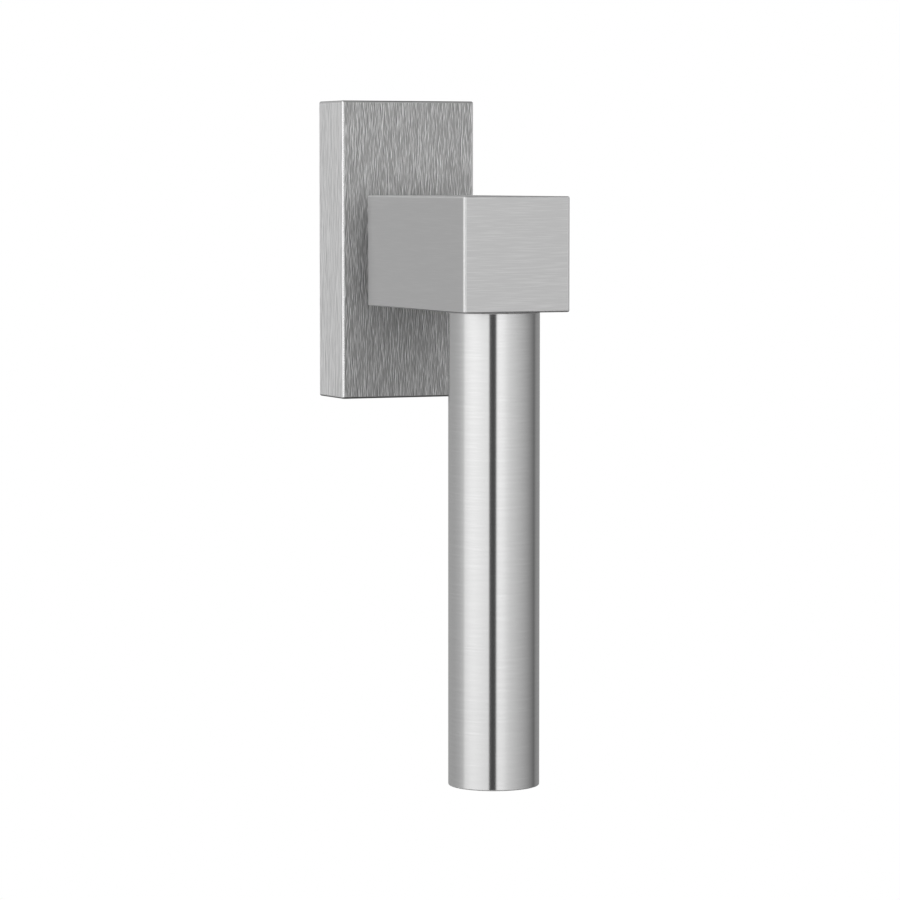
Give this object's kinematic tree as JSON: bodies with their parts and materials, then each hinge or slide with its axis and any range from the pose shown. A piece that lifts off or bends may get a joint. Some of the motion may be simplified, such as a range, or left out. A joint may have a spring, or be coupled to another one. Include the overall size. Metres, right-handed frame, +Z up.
{
  "type": "tilt turn handle",
  "caption": "Window handle with a rectangular rose, a square block arm and a round hanging lever that turns a square spindle through closed, turn and tilt positions.",
  "frame": {"origin": "on the spindle axis, in the plane of the window sash that the base rests on", "axes": "+X right as seen from the room, +Y into the sash along the spindle, +Z up; the lever hangs down along -Z in the closed position"},
  "size_m": [0.0324, 0.106, 0.1505],
  "materials": {
    "cover_steel": "stainless sheet with coarse vertical brushing",
    "block_steel": "stainless steel with fine brushing along the arm",
    "lever_steel": "stainless tube with very fine brushing around its axis",
    "neck_steel": "turned stainless steel",
    "zinc": "plain die-cast zinc alloy, matt",
    "plated_steel": "steel with bright zinc plating",
    "spring_steel": "dark tempered spring steel",
    "acetal": "black acetal, matt"
  },
  "bodies": {
    "base": {"base_plate": "zinc", "fixing_screws": "plated_steel", "bearing_bush": "acetal", "rear_plate": "plated_steel", "plate_rivets": "plated_steel", "detent_springs": "spring_steel", "cover_clips": "spring_steel", "thrust_washer": "plated_steel"},
    "cover": {"rose_cover": "cover_steel", "cover_guide_ring": "acetal"},
    "grip": {"neck_block": "block_steel", "neck_shank": "neck_steel", "block_grub_screw": "spring_steel", "wave_washer": "spring_steel", "retaining_ring": "spring_steel", "index_cam": "plated_steel", "square_spindle": "plated_steel", "spindle_pin": "spring_steel", "grip_tube": "lever_steel", "grip_insert": "plated_steel", "grip_stud": "plated_steel", "grip_end_disc": "lever_steel"}
  },
  "joints": [
    {"name": "handle_turn", "type": "hinge", "parent": "base", "child": "grip", "pos_m": [0, 0, 0], "axis": [0, 1, 0], "range_deg": [0, 180], "deforming": ["detent_springs"]},
    {"name": "cover_slide", "type": "slide", "parent": "base", "child": "cover", "axis": [0, -1, 0], "range_m": [0, 0.0057], "deforming": ["cover_clips"]}
  ]
}
